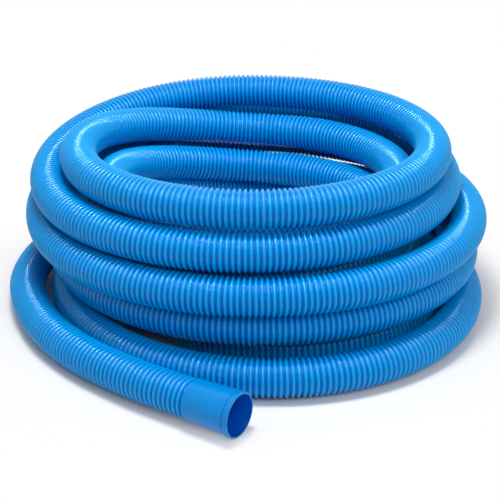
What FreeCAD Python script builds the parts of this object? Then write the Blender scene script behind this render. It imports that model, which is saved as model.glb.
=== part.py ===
import FreeCAD, Part
import Sketcher
import math
import os

# Coiled vacuum hose for pools and spas: a ribbed hose laid in an outer and an inner column of
# turns, with a plain cuff fixed on its free end and a swivel cuff on its inner end.
# Millimetres, Z up, floor at Z = 0, the free end's side at -Y, the Z axis amid the coil's box.

vec = FreeCAD.Vector

doc = FreeCAD.newDocument("vacuum_hose")
sheet = doc.addObject("Spreadsheet::Sheet", "Sizes")

# Driving dimensions
SIZES = {
    # Hose, over the ribs and inside
    "hose_outside": 44.0,
    "hose_inside": 38.0,
    # Stack of turns: the lowest ribs flatten a little, and a cuff lifts the hose that it is on
    "turn_pitch": 42.95,
    "first_turn_height": 21.8,
    "cuff_axis_height": 25.0,
    # Walls inside the column, where the turns of the two columns lie against each other
    "core_inside_radius": 182.0,
    "core_outside_radius": 230.0,
    "core_right": 10.0,
    "core_back": 35.5,
    "outer_turn_wall": 206.0,
    "inner_turn_wall": 212.0,
    "floor_turn_wall": 217.0,
    "entry_turn_wall": 208.0,
    # Turns on the floor that aren't full circles
    "entry_turn_start": 0.0,
    "entry_turn_sweep": 195.0,
    "last_turn_start": 200.0,
    "last_turn_sweep": 205.0,
    # Straight runs: the first and last of the free end, and the inner end up to the swivel
    "free_first_run": 50.0,
    "free_last_run": 86.0,
    "inner_tail_length": 10.0,
    # What both cuffs share: walls over the hose's outside, and steps from one radius to the next
    "seat_length": 15.0,
    "seat_clearance": 0.1,
    "stop_length": 1.8,
    "root_wall": 1.2,
    "flare_rise": 1.1,
    "mouth_rise": 1.8,
    "mouth_lip": 2.3,
    "grip_step": 0.4,
    "grip_length": 17.2,
    "mouth_band_length": 6.0,
    "bead_groove_width": 1.2,
    "bead_groove_depth": 0.6,
    "rim_bevel": 0.8,
    # Fixed cuff
    "fixed_cuff_length": 57.0,
    "plain_root_length": 9.0,
    # Swivel: a sleeve on the hose, a cuff that turns on it, and the collar that holds the cuff
    "insert_length": 18.0,
    "swivel_play": 0.15,
    "swivel_running_clearance": 0.06,
    "flange_length": 2.8,
    "flange_inset": 0.1,
    "neck_step": 1.7,
    "collar_lip_length": 2.0,
    "collar_wall": 1.65,
    "collar_overlap": 8.0,
    "collar_clearance": 0.05,
    "swivel_body_length": 52.5,
    "grip_zone_length": 30.0,
    "grip_rib_count": 20,
    "grip_rib_width": 1.8,
    "grip_rib_height": 0.9,
    "grip_rib_inset": 3.0,
}

# Turns of the coil: radius of the hose's centre line, and its centre to the right and the back
TURNS = {
    "entry_turn": (270.0, -3.0, 33.5),
    "floor_turn": (239.0, 28.0, 7.5),
    "second_turn": (244.0, 21.0, 51.5),
    "third_turn": (261.0, 12.0, 51.5),
    "fourth_turn": (229.0, -3.0, 38.5),
    "top_turn": (217.0, 7.0, 41.5),
    "inner_fourth_turn": (176.0, 14.0, 45.5),
    "inner_third_turn": (176.0, 6.0, 11.5),
    "inner_second_turn": (184.0, 10.0, 39.5),
    "last_turn": (174.0, 47.5, 11.0),
}

# Free end: two bends of its route between its first and last runs, its mouth, and its bearing
FREE_ROUTE = ((-223.6, -138.9, 22.0), (-181.5, -187.6, 22.0))
FREE_MOUTH = (-6.0, -314.0)
FREE_BEARING = -33.4

for turn, numbers in TURNS.items():
    for word, value in zip(("radius", "right", "back"), numbers):
        SIZES[turn + "_" + word] = value
for row, (word, value) in enumerate(SIZES.items(), 1):
    sheet.set("A%d" % row, word)
    sheet.set("B%d" % row, str(value))
    sheet.setAlias("B%d" % row, word)
doc.recompute()


def size(expression):
    """The value of an expression in the sheet's words."""
    return float(sheet.evalExpression(expression))


def new_body(label):
    """An empty body, named as its sub-part."""
    body = doc.addObject("PartDesign::Body", label)
    body.Label = label
    return body


def new_sketch(body, name, role):
    """A sketch on one of the body's own origin planes."""
    sketch = body.newObject("Sketcher::SketchObject", name)
    plane = [feature for feature in body.Origin.OriginFeatures if feature.Role == role][0]
    sketch.AttachmentSupport = [(plane, "")]
    sketch.MapMode = "FlatFace"
    return sketch


def words(expression):
    """The expression with each of the sheet's words written as a cell of the sheet."""
    parts = []
    for piece in expression.split(" "):
        parts.append("Sizes." + piece if piece in SIZES else piece)
    return " ".join(parts)


def bind(sketch, kind, where, expression):
    """Adds a dimension to a sketch and ties it to the sheet."""
    number = sketch.addConstraint(Sketcher.Constraint(kind, *where, size(expression)))
    sketch.setExpression("Constraints[%d]" % number, words(expression))


def place_point(sketch, element, point, across, up):
    """Dimensions one point of a sketch from the sketch's axes."""
    for kind, axis, expression in (("DistanceX", -2, across), ("DistanceY", -1, up)):
        if size(expression) == 0:
            sketch.addConstraint(Sketcher.Constraint("PointOnObject", element, point, axis))
        else:
            bind(sketch, kind, (-1, 1, element, point), expression)


def outline(sketch, corners):
    """A closed outline through corners: (across, up) or (across, up, radius, via across, via up).

    The longer form starts an arc, which passes by the via point on its way to the next corner.
    """
    points = [vec(size(corner[0]), size(corner[1]), 0) for corner in corners]
    forward = []
    for number, corner in enumerate(corners):
        start, end = points[number], points[(number + 1) % len(points)]
        if len(corner) == 2:
            sketch.addGeometry(Part.LineSegment(start, end))
        else:
            via = vec(size(corner[3]), size(corner[4]), 0)
            sketch.addGeometry(Part.Arc(start, via, end))
        forward.append(sketch.Geometry[number].StartPoint.distanceToPoint(start) < 1e-6)
    for number, corner in enumerate(corners):
        following = (number + 1) % len(corners)
        start, end = (1, 2) if forward[number] else (2, 1)
        next_start = 1 if forward[following] else 2
        sketch.addConstraint(Sketcher.Constraint("Coincident", number, end, following, next_start))
        place_point(sketch, number, start, corner[0], corner[1])
        if len(corner) > 2:
            bind(sketch, "Radius", (number,), corner[2])


def revolve(body, name, sketch, axis, sweep="360"):
    """Turns a sketch about one of its own axes, as a feature of the body."""
    feature = body.newObject("PartDesign::Revolution", name)
    feature.Profile = sketch
    feature.ReferenceAxis = (sketch, [axis])
    feature.setExpression("Angle", words(sweep))
    sketch.Visibility = False
    doc.recompute()
    return feature


# Coil
HALF_FLAT = "sqrt( pow( hose_outside / 2 ; 2 ) - pow( turn_pitch / 2 ; 2 ) )"
FOOT_FLAT = "sqrt( pow( hose_outside / 2 ; 2 ) - pow( first_turn_height ; 2 ) )"


def height(number):
    """Height of the centre line of a turn, where number 0 is the lowest."""
    return "( first_turn_height + %d * turn_pitch )" % number


def seam(number):
    """Height at which a turn meets the one above it."""
    return "( first_turn_height + %d * turn_pitch + turn_pitch / 2 )" % number


def turn_sketch(body, turn, start=None):
    """A sketch in the upright half plane of a turn, measured from the turn's own axis."""
    sketch = new_sketch(body, turn + "_section", "XZ_Plane")
    sketch.AttachmentOffset = FreeCAD.Placement(vec(0, 0, 0), FreeCAD.Rotation(vec(0, 1, 0), 1))
    sketch.setExpression("AttachmentOffset.Base.x", words(turn + "_right"))
    sketch.setExpression("AttachmentOffset.Base.z", words("- " + turn + "_back"))
    sketch.setExpression("AttachmentOffset.Rotation.Angle", words(start) if start else "0")
    doc.recompute()
    return sketch


def outer_turn(body, turn, number, wall, start=None, sweep="360"):
    """One turn of the outer column: round outside, filled in to a wall inside."""
    radius = turn + "_radius"
    low, low_flat = (seam(number - 1), HALF_FLAT) if number else ("0", FOOT_FLAT)
    sketch = turn_sketch(body, turn, start)
    outline(sketch, [
        (wall, low),
        ("%s + %s" % (radius, low_flat), low, "hose_outside / 2",
         radius + " + hose_outside / 2", height(number)),
        ("%s + %s" % (radius, HALF_FLAT), seam(number)),
        (wall, seam(number)),
    ])
    return revolve(body, turn + "_ring", sketch, "V_Axis", sweep)


def inner_turn(body, turn, number, wall):
    """One turn of the inner column: round inside, filled out to a wall outside."""
    radius = turn + "_radius"
    sketch = turn_sketch(body, turn)
    outline(sketch, [
        (wall, seam(number - 1)),
        (wall, seam(number)),
        ("%s - %s" % (radius, HALF_FLAT), seam(number), "hose_outside / 2",
         radius + " - hose_outside / 2", height(number)),
        ("%s - %s" % (radius, HALF_FLAT), seam(number - 1)),
    ])
    return revolve(body, turn + "_ring", sketch, "V_Axis")


def top_turn(body, turn, number):
    """The turn on top: round but for the flat that it lies on."""
    radius = turn + "_radius"
    sketch = turn_sketch(body, turn)
    outline(sketch, [
        ("%s - %s" % (radius, HALF_FLAT), seam(number - 1)),
        ("%s + %s" % (radius, HALF_FLAT), seam(number - 1), "hose_outside / 2",
         radius, height(number) + " + hose_outside / 2"),
    ])
    return revolve(body, turn + "_ring", sketch, "V_Axis")


def last_turn(body, turn):
    """The last part turn inside the coil, a plain round hose at the height of its cuff."""
    sketch = turn_sketch(body, turn, "last_turn_start")
    centre = vec(size("last_turn_radius"), size("cuff_axis_height"), 0)
    sketch.addGeometry(Part.Circle(centre, vec(0, 0, 1), size("hose_outside / 2")))
    place_point(sketch, 0, 3, "last_turn_radius", "cuff_axis_height")
    bind(sketch, "Radius", (0,), "hose_outside / 2")
    return revolve(body, turn + "_ring", sketch, "V_Axis", "last_turn_sweep")


def core(body):
    """The packed middle between the two columns, from the second turn to the fourth."""
    sketch = turn_sketch(body, "core")
    outline(sketch, [
        ("core_inside_radius", seam(0)),
        ("core_outside_radius", seam(0)),
        ("core_outside_radius", seam(3)),
        ("core_inside_radius", seam(3)),
    ])
    return revolve(body, "core_ring", sketch, "V_Axis")


def hose_coil():
    """All turns as one closed solid of the coil's outer shape."""
    body = new_body("hose_coil")
    core(body)
    for number, turn in enumerate(("second_turn", "third_turn", "fourth_turn"), 1):
        outer_turn(body, turn, number, "outer_turn_wall")
        inner_turn(body, "inner_" + turn, number, "inner_turn_wall")
    outer_turn(body, "floor_turn", 0, "floor_turn_wall")
    outer_turn(body, "entry_turn", 0, "entry_turn_wall", "entry_turn_start", "entry_turn_sweep")
    top_turn(body, "top_turn", 4)
    last_turn(body, "last_turn")
    return body


# Hose outside the coil
def route_wire(points):
    """Straight runs through the points, joined by arcs as large as their runs allow."""
    edges, start = [], points[0]
    for before, corner, after in zip(points, points[1:], points[2:]):
        come, leave = (corner - before).normalize(), (after - corner).normalize()
        turn = come.getAngle(leave)
        setback = 0.45 * min((corner - before).Length, (after - corner).Length)
        radius = setback / math.tan(turn / 2)
        print("bend of %.0f degrees, radius %.0f mm" % (math.degrees(turn), radius))
        first, last = corner - come * setback, corner + leave * setback
        middle = corner + (leave - come).normalize() * (radius / math.cos(turn / 2) - radius)
        edges.append(Part.LineSegment(start, first).toShape())
        edges.append(Part.Arc(first, middle, last).toShape())
        start = last
    edges.append(Part.LineSegment(start, points[-1]).toShape())
    return Part.Wire(edges)


def hose_tail(label, points):
    """A stretch of hose as a tube along its route."""
    wire = route_wire(points)
    heading = points[1] - points[0]
    solids = []
    for radius in (size("hose_outside / 2"), size("hose_inside / 2")):
        section = Part.Wire(Part.Circle(points[0], heading, radius).toShape())
        solid = wire.makePipeShell([section], True, False)
        print("%s volume against section times length: %.4f" % (
            label, solid.Volume / (math.pi * radius ** 2 * wire.Length)))
        solids.append(solid)
    tail = doc.addObject("Part::Feature", label)
    tail.Label = label
    tail.Shape = solids[0].cut(solids[1])
    tail.Placement = FreeCAD.Placement()
    return tail


def free_mouth():
    """Where the middle of the fixed cuff's mouth is, and the direction that it points in."""
    bearing = math.radians(FREE_BEARING)
    return vec(*FREE_MOUTH, size("cuff_axis_height")), vec(math.cos(bearing), math.sin(bearing), 0)


def free_tail():
    """The free end of the hose, from the coil to its seat in the fixed cuff."""
    angle = math.radians(size("entry_turn_start + entry_turn_sweep"))
    outward = vec(math.cos(angle), math.sin(angle), 0)
    centre = vec(size("entry_turn_right"), size("entry_turn_back"), size("hose_outside / 2"))
    start = centre + outward * size("entry_turn_radius")
    mouth, along = free_mouth()
    end = mouth - along * size("fixed_cuff_length - seat_length")
    points = [start, start + vec(-outward.y, outward.x, 0) * size("free_first_run")]
    points += [vec(*point) for point in FREE_ROUTE]
    points += [end - along * size("free_last_run"), end]
    return hose_tail("free_tail", points)


def inner_end():
    """Where the last turn ends, and the direction in which the hose runs on from there."""
    angle = math.radians(size("last_turn_start"))
    outward = vec(math.cos(angle), math.sin(angle), 0)
    centre = vec(size("last_turn_right"), size("last_turn_back"), size("cuff_axis_height"))
    return centre + outward * size("last_turn_radius"), vec(outward.y, -outward.x, 0)


def inner_tail():
    """The straight inner end of the hose, from the coil to its seat in the swivel."""
    start, along = inner_end()
    hose_tail("inner_tail", [start, start + along * size("inner_tail_length + seat_length")])


# Cuffs, each about its own X axis, with X = 0 where the hose goes in
SEAT = "( hose_outside / 2 + seat_clearance )"
BORE = "( hose_inside / 2 )"
ROOT = "( hose_outside / 2 + root_wall )"
FLARE = "( hose_outside / 2 + root_wall + flare_rise )"
MOUTH = "( hose_outside / 2 + root_wall + mouth_rise )"
GRIP = "( hose_inside / 2 + grip_step )"
FLARE_LENGTH = "( fixed_cuff_length - seat_length - stop_length - grip_length )"


def mouth_corners(start, mouth):
    """Outline of a cuff's body from its root to its mouth and back to the stop in its bore."""
    band = "%s - mouth_band_length" % mouth
    groove = "%s - bead_groove_width" % band
    grip_end = "%s - %s" % (mouth, FLARE_LENGTH)
    return [
        (start, ROOT),
        (groove, FLARE),
        (groove, FLARE + " - bead_groove_depth"),
        (band, FLARE + " - bead_groove_depth"),
        (band, MOUTH),
        ("%s - rim_bevel" % mouth, MOUTH),
        (mouth, MOUTH + " - rim_bevel"),
        (mouth, MOUTH + " - mouth_lip"),
        (grip_end, GRIP),
        (grip_end + " - grip_length", GRIP),
        (grip_end + " - grip_length", BORE),
    ]


def turned_body(label, corners):
    """A body turned from an outline about its X axis."""
    body = new_body(label)
    sketch = new_sketch(body, label + "_section", "XY_Plane")
    outline(sketch, corners)
    revolve(body, label + "_turning", sketch, "H_Axis")
    return body


def fixed_cuff():
    """The plain cuff that is moulded on the free end."""
    corners = [("0", SEAT), ("0", ROOT)]
    corners += mouth_corners("plain_root_length", "fixed_cuff_length")
    corners += [
        ("seat_length", BORE),
        ("seat_length", SEAT),
    ]
    body = turned_body("fixed_cuff", corners)
    mouth, along = free_mouth()
    root = mouth - along * size("fixed_cuff_length")
    body.Placement = FreeCAD.Placement(root, FreeCAD.Rotation(vec(0, 0, 1), FREE_BEARING))
    return body


FLANGE = "( hose_outside / 2 + root_wall - flange_inset )"
NECK = "( hose_outside / 2 + root_wall - flange_inset - neck_step )"
COLLAR = "( hose_outside / 2 + root_wall + collar_clearance + collar_wall )"
FLANGE_START = "( insert_length + swivel_play )"
FLANGE_END = "( insert_length + swivel_play + flange_length )"
LIP_START = "( insert_length + 2 * swivel_play + flange_length )"
LIP_END = "( insert_length + 2 * swivel_play + flange_length + collar_lip_length )"
BODY_START = "( insert_length + 3 * swivel_play + flange_length + collar_lip_length )"


def swivel_insert():
    """The sleeve that is fixed on the inner end, with a stop for the hose."""
    return turned_body("swivel_insert", [
        ("0", SEAT),
        ("0", ROOT),
        ("insert_length", ROOT),
        ("insert_length", BORE),
        ("seat_length", BORE),
        ("seat_length", SEAT),
    ])


def swivel_collar():
    """The collar on the sleeve, whose lip holds the cuff's flange."""
    return turned_body("swivel_collar", [
        ("insert_length - collar_overlap", ROOT + " + collar_clearance"),
        ("insert_length - collar_overlap", COLLAR + " - rim_bevel"),
        ("insert_length - collar_overlap + rim_bevel", COLLAR),
        (LIP_END, COLLAR),
        (LIP_END, NECK + " + swivel_running_clearance"),
        (LIP_START, NECK + " + swivel_running_clearance"),
        (LIP_START, ROOT + " + collar_clearance"),
    ])


def swivel_cuff():
    """The cuff that turns freely, with a flange at its root and grip ribs along its body."""
    mouth = "%s + swivel_body_length" % BODY_START
    corners = [
        (FLANGE_START, BORE),
        (FLANGE_START, FLANGE),
        (FLANGE_END, FLANGE),
        (FLANGE_END, NECK),
        (BODY_START, NECK),
        (BODY_START, ROOT),
    ]
    corners += mouth_corners("%s + grip_zone_length" % BODY_START, mouth)
    body = turned_body("swivel_cuff", corners)
    rib_sketch = new_sketch(body, "grip_rib_section", "XY_Plane")
    rib_start = "%s + grip_rib_inset" % BODY_START
    rib_end = "%s + grip_zone_length - grip_rib_inset" % BODY_START
    outline(rib_sketch, [
        (rib_start, ROOT + " - grip_rib_height"),
        (rib_end, ROOT + " - grip_rib_height"),
        (rib_end, ROOT + " + grip_rib_height"),
        (rib_start, ROOT + " + grip_rib_height"),
    ])
    rib = body.newObject("PartDesign::Pad", "grip_rib")
    rib.Profile = rib_sketch
    rib.SideType = "Symmetric"
    rib.setExpression("Length", words("grip_rib_width"))
    rib_sketch.Visibility = False
    doc.recompute()
    ribs = body.newObject("PartDesign::PolarPattern", "grip_ribs")
    ribs.Originals = [rib]
    ribs.Axis = (rib_sketch, ["H_Axis"])
    ribs.Angle = 360
    ribs.setExpression("Occurrences", words("grip_rib_count"))
    body.Tip = ribs
    doc.recompute()
    return body


def swivel():
    """The three pieces of the swivel, on the straight inner end of the hose."""
    start, along = inner_end()
    root = start + along * size("inner_tail_length")
    bearing = math.degrees(math.atan2(along.y, along.x))
    for body in (swivel_insert(), swivel_collar(), swivel_cuff()):
        body.Placement = FreeCAD.Placement(root, FreeCAD.Rotation(vec(0, 0, 1), bearing))


hose_coil()
free_tail()
inner_tail()
fixed_cuff()
swivel()
doc.recompute()

# Checks, then one file for each sub-part
for item in doc.Objects:
    if "Invalid" in item.State or "Error" in item.State:
        raise RuntimeError("%s failed: %s" % (item.Name, item.State))
NODES = ("hose_coil", "free_tail", "inner_tail", "fixed_cuff",
         "swivel_insert", "swivel_collar", "swivel_cuff")
os.makedirs("parts", exist_ok=True)
whole = FreeCAD.BoundBox()
for label in NODES:
    shape = doc.getObjectsByLabel(label)[0].Shape
    if shape.isNull() or not shape.isValid() or len(shape.Solids) != 1:
        raise RuntimeError("%s isn't one valid solid" % label)
    shape.exportStep("parts/%s.step" % label)
    whole.add(shape.BoundBox)
    print("%s: %.1f cm3" % (label, shape.Volume / 1000))
print("box %.1f..%.1f  %.1f..%.1f  %.1f..%.1f" % (
    whole.XMin, whole.XMax, whole.YMin, whole.YMax, whole.ZMin, whole.ZMax))
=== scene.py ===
"""Looks of a coiled ribbed vacuum hose for pools and spas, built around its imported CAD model.

The hose is one tube of ribs along one smooth route: the free end with its fixed cuff, five turns
up the outside of the coil, four down its inside, and a swivel cuff on the inner end. Sizes are in
millimetres where a name or the text of its class says so, and in metres elsewhere.
"""

import logging
import math
from dataclasses import dataclass, field
from enum import Enum

import bpy
import numpy as np
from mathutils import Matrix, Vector

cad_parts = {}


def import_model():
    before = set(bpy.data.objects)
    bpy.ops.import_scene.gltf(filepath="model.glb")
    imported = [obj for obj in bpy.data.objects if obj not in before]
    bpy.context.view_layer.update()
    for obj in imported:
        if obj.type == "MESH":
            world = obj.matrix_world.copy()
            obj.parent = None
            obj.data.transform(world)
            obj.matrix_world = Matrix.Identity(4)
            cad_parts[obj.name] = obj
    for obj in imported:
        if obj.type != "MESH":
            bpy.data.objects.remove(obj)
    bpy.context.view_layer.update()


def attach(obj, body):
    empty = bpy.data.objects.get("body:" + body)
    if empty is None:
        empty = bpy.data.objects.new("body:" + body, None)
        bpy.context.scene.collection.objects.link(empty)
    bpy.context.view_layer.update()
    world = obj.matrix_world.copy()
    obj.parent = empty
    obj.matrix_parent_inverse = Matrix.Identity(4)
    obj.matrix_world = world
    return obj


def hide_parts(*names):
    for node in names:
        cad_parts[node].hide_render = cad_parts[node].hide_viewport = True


log = logging.getLogger("vacuum_hose")

MM = 0.001
# How deep in a groove between two ribs a point of the hose lies, from 0 on a rib to 1; it sets where
# shade is painted into the grooves
GROOVE = "groove"
# Sockets of a Mix node that mixes colours, which share their names with those for other values
MIX_SHARE, MIX_FIRST, MIX_SECOND, MIX_OUT = 0, 6, 7, 2


class Slot(Enum):
    """The record's material slots."""

    HOSE = "hose"
    CUFF = "cuff"
    COLLAR = "collar"


class Shows(Enum):
    """Where the light of a lamp shows."""

    EVERYWHERE = "everywhere"
    NOT_IN_GLOSS = "not in gloss"
    IN_GLOSS_ALONE = "in gloss alone"


def linear(colour: str) -> tuple[float, float, float, float]:
    """Turns an sRGB hex colour into the linear values that Blender's sockets take.

    The numbers are those of the sRGB standard's curve.

    Args:
        colour: the colour, such as "#0A85DA".

    Returns:
        Linear red, green and blue, and an alpha of 1.
    """
    parts = [int(colour[i:i + 2], 16) / 255 for i in (1, 3, 5)]
    red, green, blue = (c / 12.92 if c <= 0.04045 else ((c + 0.055) / 1.055) ** 2.4 for c in parts)
    return red, green, blue, 1.0


def add_node(
    tree: bpy.types.NodeTree,
    kind: str,
    settings: dict[str | int, object] | None = None,
    links: dict[str | int, bpy.types.NodeSocket] | None = None,
) -> bpy.types.Node:
    """Adds a node with its settings and the links into it.

    Args:
        tree: the node tree to add it to.
        kind: Blender's name of the node's type.
        settings: values by name, of a property of the node or else of an input socket.
        links: output sockets by the name or number of the input socket that each goes to.

    Returns:
        The new node.
    """
    node = tree.nodes.new(kind)
    for name, value in (settings or {}).items():
        if isinstance(name, str) and hasattr(node, name):
            setattr(node, name, value)
        else:
            node.inputs[name].default_value = value
    for name, output in (links or {}).items():
        tree.links.new(output, node.inputs[name])
    return node


@dataclass(frozen=True)
class Bore:
    """The bore of a cuff, with painted shade: its wall is coloured deeper, as it lies in the shade of
    the hose.
    """

    # A point of the cuff's axis and the axis's direction
    point: tuple[float, ...]
    axis: tuple[float, ...]
    # Between the bore at its widest, 22.7 mm, and the narrowest outside that shows, 23.2 mm
    wall_mm: float = 22.9
    edge_mm: float = 0.2
    # The painted shade: a deeper colour for the bore's wall
    colour: str = "#0056C0"

    @classmethod
    def past(cls, end: np.ndarray, before: np.ndarray) -> "Bore":
        """The bore of the cuff on an end of the hose, in line with it.

        Args:
            end: the last point of the hose's route.
            before: the point before it.

        Returns:
            The bore.
        """
        along = (end - before) / np.linalg.norm(end - before)
        return cls(tuple(end.tolist()), tuple(along.tolist()))

    def tint(
        self, tree: bpy.types.NodeTree, place: bpy.types.NodeSocket, tint: bpy.types.NodeSocket
    ) -> bpy.types.NodeSocket:
        """Adds the nodes that paint shade onto the bore's wall.

        Args:
            tree: the material's nodes.
            place: where the shaded point is.
            tint: the colour outside.

        Returns:
            The colour with the bore's painted shade in it.
        """
        away = add_node(tree, "ShaderNodeVectorMath", {
            "operation": "SUBTRACT", 1: self.point}, {0: place}).outputs["Vector"]
        across = add_node(tree, "ShaderNodeVectorMath", {
            "operation": "CROSS_PRODUCT", 1: self.axis}, {0: away}).outputs["Vector"]
        radius = add_node(tree, "ShaderNodeVectorMath", {
            "operation": "LENGTH"}, {0: across}).outputs["Value"]
        outside = add_node(tree, "ShaderNodeMapRange", {
            "From Min": (self.wall_mm - self.edge_mm) * MM,
            "From Max": (self.wall_mm + self.edge_mm) * MM,
        }, {"Value": radius}).outputs["Result"]
        return add_node(tree, "ShaderNodeMix", {
            "data_type": "RGBA", MIX_FIRST: linear(self.colour),
        }, {MIX_SHARE: outside, MIX_SECOND: tint}).outputs[MIX_OUT]


@dataclass(frozen=True)
class SoftPlastic:
    """A soft thermoplastic surface, coloured in the mass, which differs by how it was made."""

    name: str
    # Faint clouds of a second colour, which differ in gloss too
    colour: str
    cloud_colour: str
    cloud_mm: float
    roughness: float
    roughness_spread: float
    ior: float
    # Grain of the mould or die, drawn as coarse as it needs to be to show
    grain_mm: float
    grain_depth_mm: float = 0.015
    # Painted shade in the grooves: the web between the ribs is coloured deeper the deeper it lies
    painted_groove_shade: str | None = None
    # Depths in a groove where that painted shade starts and where it is full
    groove_shade_start: float = 0.08
    groove_shade_full: float = 0.9
    # The skin is translucent, so its gloss takes on some of the colour below
    sheen_colour: str = "#9CD2FF"
    # How many finer layers the clouds and the grain have, and how strong each is beside the last
    cloud_layers: float = 3.0
    cloud_fineness: float = 0.55
    grain_layers: float = 2.0

    def material(self, bore: Bore | None = None) -> bpy.types.Material:
        """Builds the material: faint clouds in the colour and gloss, a fine grain, and any painted
        shade.

        Args:
            bore: the bore of a cuff, whose wall is painted deeper in colour than its outside, as
                shade.

        Returns:
            The material, with its surface ready.
        """
        made = bpy.data.materials.new(self.name)
        made.use_nodes = True
        tree = made.node_tree
        tree.nodes.clear()
        place = add_node(tree, "ShaderNodeTexCoord").outputs["Object"]
        clouds = add_node(tree, "ShaderNodeTexNoise", {
            "Scale": 1 / (self.cloud_mm * MM), "Detail": self.cloud_layers,
            "Roughness": self.cloud_fineness}, {"Vector": place}).outputs["Fac"]
        tint = add_node(tree, "ShaderNodeMix", {
            "data_type": "RGBA", MIX_FIRST: linear(self.cloud_colour),
            MIX_SECOND: linear(self.colour)}, {MIX_SHARE: clouds}).outputs[MIX_OUT]
        # Painted shade: the grooves are coloured deeper the deeper they lie
        if self.painted_groove_shade:
            tint = self.paint_groove_shade(tree, tint)
        # Painted shade on the wall of a cuff's bore
        if bore:
            tint = bore.tint(tree, place, tint)
        gloss = add_node(tree, "ShaderNodeMapRange", {
            "To Min": self.roughness - self.roughness_spread,
            "To Max": self.roughness + self.roughness_spread,
        }, {"Value": clouds}).outputs["Result"]
        grain = add_node(tree, "ShaderNodeTexNoise", {
            "Scale": 1 / (self.grain_mm * MM), "Detail": self.grain_layers,
        }, {"Vector": place}).outputs["Fac"]
        bump = add_node(tree, "ShaderNodeBump", {
            "Distance": self.grain_depth_mm * MM}, {"Height": grain}).outputs["Normal"]
        surface = add_node(tree, "ShaderNodeBsdfPrincipled", {
            "IOR": self.ior, "Specular Tint": linear(self.sheen_colour)}, {
            "Base Color": tint, "Roughness": gloss, "Normal": bump}).outputs["BSDF"]
        add_node(tree, "ShaderNodeOutputMaterial", links={"Surface": surface})
        return made

    def paint_groove_shade(
        self, tree: bpy.types.NodeTree, tint: bpy.types.NodeSocket
    ) -> bpy.types.NodeSocket:
        """Adds the nodes that paint shade into the grooves.

        Args:
            tree: the material's nodes.
            tint: the colour on the ribs.

        Returns:
            The colour with the painted groove shade in it.
        """
        depth = add_node(tree, "ShaderNodeAttribute", {"attribute_name": GROOVE}).outputs["Fac"]
        share = add_node(tree, "ShaderNodeMapRange", {
            "From Min": self.groove_shade_start, "From Max": self.groove_shade_full,
        }, {"Value": depth}).outputs["Result"]
        return add_node(tree, "ShaderNodeMix", {
            "data_type": "RGBA", MIX_SECOND: linear(self.painted_groove_shade),
        }, {MIX_SHARE: share, MIX_FIRST: tint}).outputs[MIX_OUT]


FINISHES = {
    # Low-density polyethylene with EVA, extruded and formed into ribs: semi-gloss, with a soft
    # bright streak on each rib, a faint mottle where it cooled, and painted shade in the grooves
    Slot.HOSE: SoftPlastic(
        "extruded_polyethylene", colour="#009CE0", cloud_colour="#0096DA", cloud_mm=35.0,
        roughness=0.17, roughness_spread=0.02, ior=1.51, grain_mm=1.6, painted_groove_shade="#006CC4"),
    # The same plastic, injection-moulded in a polished mould: smooth, with a softer gloss
    Slot.CUFF: SoftPlastic(
        "moulded_polyethylene", colour="#0084D2", cloud_colour="#007FCC", cloud_mm=25.0,
        roughness=0.20, roughness_spread=0.03, ior=1.51, grain_mm=1.2),
    # Polypropylene, injection-moulded and harder: a shade deeper, and satin
    Slot.COLLAR: SoftPlastic(
        "moulded_polypropylene", colour="#0A72C6", cloud_colour="#086ABC", cloud_mm=25.0,
        roughness=0.30, roughness_spread=0.03, ior=1.49, grain_mm=1.0),
}


@dataclass(frozen=True)
class Turn:
    """One turn of the coil: a circle of the hose's centre line, in millimetres."""

    radius: float
    right: float
    back: float
    height: float

    def point(self, angle: float, scale: float = 1.0) -> np.ndarray:
        """A point of the circle, or further out by a scale, at an angle from the right."""
        reach = self.radius * scale
        return np.array([
            self.right + reach * math.cos(angle), self.back + reach * math.sin(angle), self.height])


@dataclass(frozen=True)
class Crossing:
    """How a turn goes over into the next: windows in turns past the back, and a bulge in mm.

    In the first window the hose moves over to the next turn's circle, and in the second it rises
    or sinks to its height. The bulge carries it outward in the middle of the way.
    """

    plan: tuple[float, float]
    rise: tuple[float, float]
    bulge: float = 0.0


# The outer turns climb in step, and the inner ones go down in step, so they stay a hose apart
CLIMB = (-0.36, 0.01)
DROP = (-0.26, 0.02)


def eased(value: float, window: tuple[float, float]) -> float:
    """How far a value has come through a window, from 0 to 1, with soft ends."""
    x = min(max((value - window[0]) / (window[1] - window[0]), 0.0), 1.0)
    return x * x * (3 - 2 * x)


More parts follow.
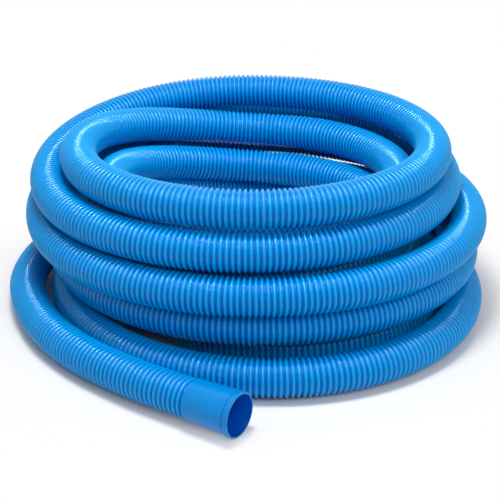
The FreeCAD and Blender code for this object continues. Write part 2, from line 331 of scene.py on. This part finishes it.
@dataclass
class HoseRoute:
    """The centre line of the whole hose, as one smooth spline, laid out in millimetres.

    A place along the coil is the number of turns wound: 0 is at the front, 0.25 at the left and
    0.5 at the back. The points of control and line are in metres.
    """

    pitch: float = 42.95
    lowest: float = 21.8
    on_floor: float = 22.0
    outer_turns: int = 5
    points_per_turn: int = 24
    line_points_per_control: int = 16
    # Where the coil takes over from the free end, and where it ends in the straight inner run
    coil_start: float = 0.25 - 10 / 360
    coil_end: float = 9 + 70 / 360
    back_place: float = 0.5
    inner_run: float = 25.0
    # The swivel cuff lifts the hose that it is on off the floor
    cuff_lift: tuple[float, ...] = (1.0, 2.6, 3.0)
    # From the hose's end in the fixed cuff up to the coil
    free_end: tuple[tuple[float, float, float], ...] = (
        (-41.06, -290.88, 25.0), (-87.0, -260.6, 25.0), (-125.0, -232.5, 24.0),
        (-186.0, -178.5, 22.5), (-236.0, -108.5, 22.0))
    turns: tuple[Turn, ...] = field(init=False)
    crossings: tuple[Crossing, ...] = field(init=False)
    control: np.ndarray = field(init=False)
    line: np.ndarray = field(init=False)

    def __post_init__(self) -> None:
        """Works out the control points, then reads the line of the spline that they give."""
        floor = self.on_floor
        level = [self.lowest + self.pitch * number for number in range(self.outer_turns)]
        self.turns = (
            Turn(270, -3, 33.5, floor), Turn(239, 28, 7.5, floor), Turn(244, 21, 51.5, level[1]),
            Turn(261, 12, 51.5, level[2]), Turn(234, 1, 43.5, level[3]), Turn(217, 7, 41.5, level[4]),
            Turn(175, 12, 45.5, level[3]), Turn(176, 6, 11.5, level[2]),
            Turn(184, 10, 39.5, level[1]), Turn(174, 47.5, 11, floor))
        self.crossings = (
            Crossing((0.0, 0.38), (0.0, 0.30)), Crossing((-0.40, 0.14), (-0.31, 0.04), 10),
            Crossing((-0.36, 0.04), CLIMB), Crossing((0.0, 0.32), CLIMB),
            Crossing((-0.41, 0.05), CLIMB, 18), Crossing((-0.38, 0.02), DROP),
            Crossing((-0.58, 0.20), DROP), Crossing((-0.50, 0.22), DROP),
            Crossing((-0.42, 0.34), (-0.34, -0.04)))
        self.control = self.control_points()
        self.line = self.line_points()

    def station(self, place: float) -> np.ndarray:
        """A control point of the coil, a little outside the turn, as the spline cuts inside it.

        Args:
            place: the number of turns wound.

        Returns:
            The point, in millimetres.
        """
        angle = -math.pi / 2 - 2 * math.pi * place
        scale = 1 / math.cos(math.pi / self.points_per_turn)
        outward = np.array([math.cos(angle), math.sin(angle), 0.0])
        point = self.turns[0].point(angle, scale)
        for number, (turn, crossing) in enumerate(zip(self.turns[1:], self.crossings)):
            past_back = place - self.back_place - number
            across, up = eased(past_back, crossing.plan), eased(past_back, crossing.rise)
            there = turn.point(angle, scale)
            height = (1 - up) * point[2] + up * there[2]
            point = (1 - across) * point + across * there
            point += 4 * crossing.bulge * across * (1 - across) * outward
            point[2] = height
        return point

    def control_points(self) -> np.ndarray:
        """Works out the spline's control points.

        Returns:
            The free end's points, the coil's, and those of the straight inner end, in metres.
        """
        span = self.coil_end - self.coil_start
        steps = round(span * self.points_per_turn)
        coil = [self.station(self.coil_start + span * i / steps) for i in range(steps)]
        angle = -math.pi / 2 - 2 * math.pi * self.coil_end
        for point, lift in zip(coil[-2:], self.cuff_lift):
            point[2] += lift
        last = self.turns[-1].point(angle) + np.array([0.0, 0.0, self.cuff_lift[-1]])
        along = np.array([math.sin(angle), -math.cos(angle), 0.0])
        return np.array([*self.free_end, *coil, last, last + along * self.inner_run]) * MM

    def line_points(self) -> np.ndarray:
        """Reads the smooth spline that the control points give.

        Returns:
            Points close together along it, in metres.
        """
        curve = bpy.data.curves.new("hose_route", "CURVE")
        curve.dimensions = "3D"
        curve.resolution_u = self.line_points_per_control
        spline = curve.splines.new("NURBS")
        spline.points.add(len(self.control) - 1)
        for point, place in zip(spline.points, self.control):
            point.co = (*place, 1.0)
        spline.order_u = 3
        spline.use_endpoint_u = True
        carrier = bpy.data.objects.new("hose_route", curve)
        line = bpy.data.meshes.new_from_object(carrier)
        found = np.array([vertex.co[:] for vertex in line.vertices])
        bpy.data.objects.remove(carrier)
        bpy.data.curves.remove(curve)
        bpy.data.meshes.remove(line)
        return found


@dataclass
class RibbedHose:
    """The whole hose: a tube of round-topped ribs along its route."""

    outside_mm: float = 44.0
    rib_pitch_mm: float = 6.1
    # The web in the grooves stays outside the bore, 38 mm wide
    rib_depth_mm: float = 2.95
    segments: int = 32
    # Share of the pitch, and share of the rib's depth, from the middle of one groove
    rib_profile: tuple[tuple[float, float], ...] = (
        (0.0, 0.0), (0.08, 0.05), (0.17, 0.40), (0.27, 0.76), (0.40, 0.97),
        (0.50, 1.0), (0.60, 0.97), (0.73, 0.76), (0.83, 0.40), (0.92, 0.05))
    # Rows of the flat layout for textures, and the bare share at the top and bottom of each
    uv_rows: int = 10
    uv_margin: float = 0.03

    def build(self, route: HoseRoute) -> None:
        """Args:
            route: the hose's centre line.
        """
        steps = np.linalg.norm(np.diff(route.line, axis=0), axis=1)
        far = np.concatenate([[0.0], np.cumsum(steps)])
        length = float(far[-1])
        ribs = int(length / (self.rib_pitch_mm * MM))
        shares, depths = np.array(self.rib_profile).T
        along = (np.arange(ribs)[:, None] + shares).ravel() * length / ribs
        along = np.append(along, length)
        depth = np.append(np.tile(depths, ribs), 0.0)
        centres = np.stack([np.interp(along, far, route.line[:, axis]) for axis in range(3)], axis=1)
        mesh = self.tube(centres, (self.outside_mm / 2 - self.rib_depth_mm * (1 - depth)) * MM)
        self.lay_out(mesh, len(centres))
        # The depth in the grooves, which sets where shade is painted
        groove = mesh.attributes.new(GROOVE, "FLOAT", "POINT")
        groove.data.foreach_set("value", np.repeat(1 - depth, self.segments).astype(np.float32))
        mesh.materials.append(FINISHES[Slot.HOSE].material())
        mesh.shade_smooth()
        hose = bpy.data.objects.new("ribbed_hose", mesh)
        bpy.context.scene.collection.objects.link(hose)
        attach(hose, "hose")
        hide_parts("hose_coil", "free_tail", "inner_tail")
        log.info("ribbed_hose: %.2f m, %d ribs, %d faces", length, ribs, len(mesh.polygons))

    def tube(self, centres: np.ndarray, radii: np.ndarray) -> bpy.types.Mesh:
        """A tube of rings. The wall is thin, so its inside shows the same ribs.

        Args:
            centres: the rings' centres.
            radii: the rings' radii.

        Returns:
            The mesh.
        """
        heading = np.gradient(centres, axis=0)
        heading /= np.linalg.norm(heading, axis=1)[:, None]
        side = np.cross(heading, (0.0, 0.0, 1.0))
        side /= np.linalg.norm(side, axis=1)[:, None]
        top = np.cross(side, heading)
        angles = np.arange(self.segments)[None, :, None] * 2 * math.pi / self.segments
        ring = np.cos(angles) * side[:, None, :] + np.sin(angles) * top[:, None, :]
        places = centres[:, None, :] + radii[:, None, None] * ring
        ring_starts = np.arange(len(centres) - 1)[:, None] * self.segments
        around = np.arange(self.segments)
        first = (ring_starts + around).ravel()
        beside = (ring_starts + (around + 1) % self.segments).ravel()
        faces = np.stack([first, first + self.segments, beside + self.segments, beside], axis=1)
        mesh = bpy.data.meshes.new("ribbed_hose")
        mesh.from_pydata(places.reshape(-1, 3), [], faces)
        return mesh

    def lay_out(self, mesh: bpy.types.Mesh, rings: int) -> None:
        """Lays the tube out flat for textures, cut into rows one under another.

        Args:
            mesh: the tube.
            rings: the number of its rings.
        """
        layer = mesh.uv_layers.new(name="OFBake")
        number = np.repeat(np.arange(rings - 1), self.segments)
        segment = np.tile(np.arange(self.segments), rings - 1)
        per_row = -(-(rings - 1) // self.uv_rows)
        row, column = np.divmod(number, per_row)
        filled = 1 - 2 * self.uv_margin
        corners = ((0, 0), (1, 0), (1, 1), (0, 1))
        u = np.stack([(column + ahead) / per_row for ahead, _ in corners], axis=1)
        v = np.stack([
            (row + (segment + up) / self.segments * filled + self.uv_margin) / self.uv_rows
            for _, up in corners], axis=1)
        layer.uv.foreach_set("vector", np.stack([u, v], axis=2).ravel().astype(np.float32))


@dataclass
class Cuffs:
    """The fixed cuff and the three pieces of the swivel, which keep their CAD shapes."""

    route: HoseRoute

    def dress(self) -> None:
        """Gives each CAD node its moulded plastic, with painted shade on the wall of each cuff's bore.
        """
        control = self.route.control
        fixed_bore = Bore.past(control[0], control[1])
        swivel_bore = Bore.past(control[-1], control[-2])
        for name, slot, bore in (
            ("fixed_cuff", Slot.CUFF, fixed_bore), ("swivel_insert", Slot.CUFF, swivel_bore),
            ("swivel_collar", Slot.COLLAR, None), ("swivel_cuff", Slot.CUFF, swivel_bore),
        ):
            node = bpy.data.objects[name]
            node.data.materials.clear()
            node.data.materials.append(FINISHES[slot].material(bore))
            log.info("%s: %s", name, FINISHES[slot].name)


@dataclass(frozen=True)
class Softbox:
    """A rectangular area lamp that faces a point a little above the floor, with its power in watts."""

    name: str
    place: tuple[float, float, float]
    size: tuple[float, float]
    power: float
    shows: Shows = Shows.EVERYWHERE
    aim: tuple[float, float, float] = (0.0, 0.0, 0.1)

    def build(self) -> None:
        """Adds the lamp to the scene."""
        lamp = bpy.data.lights.new(self.name, "AREA")
        lamp.shape = "RECTANGLE"
        lamp.size, lamp.size_y = self.size
        lamp.energy = self.power
        box = bpy.data.objects.new(self.name, lamp)
        box.location = self.place
        box.visible_glossy = self.shows is not Shows.NOT_IN_GLOSS
        box.visible_diffuse = self.shows is not Shows.IN_GLOSS_ALONE
        facing = Vector(self.aim) - Vector(self.place)
        box.rotation_euler = facing.to_track_quat("-Z", "Y").to_euler()
        bpy.context.scene.collection.objects.link(box)


@dataclass
class Studio:
    """A white floor, soft lamps, pale air, and a camera at the photograph's place."""

    # The strip is long and narrow, and draws a thin bright streak on each rib
    lamps: tuple[Softbox, ...] = (
        Softbox("overhead_softbox", (-0.1, -0.10, 1.5), (0.36, 0.45), 18.0),
        Softbox("glint_strip", (-0.1, -0.62, 1.45), (0.22, 1.10), 27.0, Shows.IN_GLOSS_ALONE),
        Softbox("front_fill", (0.7, -1.5, 1.4), (1.6, 1.0), 15.0, Shows.NOT_IN_GLOSS))
    white: str = "#FFFFFF"
    paper_colour: str = "#E4E4E4"
    floor_reach: float = 9.0
    # Distances from the origin: the floor keeps the shadow up to the first, and is white from the
    # second on
    shadow_reach: float = 0.25
    white_reach: float = 0.42
    air_light: float = 0.34
    # The camera: its lens and the middle of its view, in pixels of the photograph's frame
    focal_px: float = 1288.0
    frame_px: float = 500.0
    principal_px: float = 251.6
    degrees_down: float = 23.7
    camera_place: tuple[float, float, float] = (0.006, -1.4395, 0.702)
    sensor_mm: float = 36.0
    farthest_seen: float = 40.0

    def build(self) -> None:
        """Builds the floor, the lights, the world and the camera."""
        self.floor()
        for lamp in self.lamps:
            lamp.build()
        self.world()
        self.camera()

    def floor(self) -> None:
        """A plain white floor, which keeps the object's shadow and is white around it."""
        mesh = bpy.data.meshes.new("floor")
        r = self.floor_reach
        mesh.from_pydata([(-r, -r, 0), (r, -r, 0), (r, r, 0), (-r, r, 0)], [], [(0, 1, 2, 3)])
        floor = bpy.data.objects.new("floor", mesh)
        bpy.context.scene.collection.objects.link(floor)
        paper = bpy.data.materials.new("white_paper")
        paper.use_nodes = True
        tree = paper.node_tree
        tree.nodes.clear()
        matt = add_node(tree, "ShaderNodeBsdfDiffuse", {
            "Color": linear(self.paper_colour)}).outputs["BSDF"]
        glow = add_node(tree, "ShaderNodeEmission", {
            "Color": linear(self.white), "Strength": 1.0}).outputs["Emission"]
        place = add_node(tree, "ShaderNodeTexCoord").outputs["Object"]
        far = add_node(tree, "ShaderNodeVectorMath", {
            "operation": "LENGTH"}, {0: place}).outputs["Value"]
        open_floor = add_node(tree, "ShaderNodeMapRange", {
            "interpolation_type": "SMOOTHSTEP", "From Min": self.shadow_reach,
            "From Max": self.white_reach}, {"Value": far}).outputs["Result"]
        share = add_node(tree, "ShaderNodeMath", {"operation": "MULTIPLY"}, {
            0: self.seen_or_mirrored(tree), 1: open_floor}).outputs["Value"]
        both = add_node(tree, "ShaderNodeMixShader", links={
            0: share, 1: matt, 2: glow}).outputs["Shader"]
        add_node(tree, "ShaderNodeOutputMaterial", links={"Surface": both})
        mesh.materials.append(paper)

    def seen_or_mirrored(self, tree: bpy.types.NodeTree) -> bpy.types.NodeSocket:
        """Whether the camera sees the spot, straight or in gloss or glass, where it is white.

        Args:
            tree: the nodes of the floor's material or of the world.

        Returns:
            1 where it does, and 0 for light that only bounces about.
        """
        rays = add_node(tree, "ShaderNodeLightPath").outputs
        either = add_node(tree, "ShaderNodeMath", {"operation": "MAXIMUM"}, {
            0: rays["Is Camera Ray"], 1: rays["Is Glossy Ray"]}).outputs["Value"]
        return add_node(tree, "ShaderNodeMath", {"operation": "MAXIMUM"}, {
            0: either, 1: rays["Is Transmission Ray"]}).outputs["Value"]

    def world(self) -> None:
        """Pale air that lights softly from all round, and is white where it is seen or mirrored."""
        air = bpy.data.worlds.new("studio_air")
        bpy.context.scene.world = air
        air.use_nodes = True
        tree = air.node_tree
        tree.nodes.clear()
        level = add_node(tree, "ShaderNodeMath", {"operation": "MAXIMUM", 1: self.air_light}, {
            0: self.seen_or_mirrored(tree)}).outputs["Value"]
        back = add_node(tree, "ShaderNodeBackground", {
            "Color": linear(self.white)}, {"Strength": level}).outputs["Background"]
        add_node(tree, "ShaderNodeOutputWorld", links={"Surface": back})

    def camera(self) -> None:
        """The camera at the photograph's place and angle."""
        lens = bpy.data.cameras.new("photograph_view")
        lens.sensor_width = self.sensor_mm
        lens.lens = self.focal_px / self.frame_px * self.sensor_mm
        lens.shift_x = (self.frame_px / 2 - self.principal_px) / self.frame_px
        lens.clip_end = self.farthest_seen
        camera = bpy.data.objects.new("photograph_view", lens)
        camera.location = self.camera_place
        camera.rotation_euler = (math.radians(90 - self.degrees_down), 0.0, 0.0)
        bpy.context.scene.collection.objects.link(camera)
        bpy.context.scene.camera = camera


def main() -> None:
    """Builds the scene, piece by piece, and keeps its sizes."""
    logging.basicConfig(level=logging.INFO, format="%(name)s: %(message)s")
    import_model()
    bpy.context.scene.view_settings.view_transform = "Standard"
    Studio().build()
    route = HoseRoute()
    RibbedHose().build(route)
    Cuffs(route).dress()


if __name__ == "__main__":
    main()
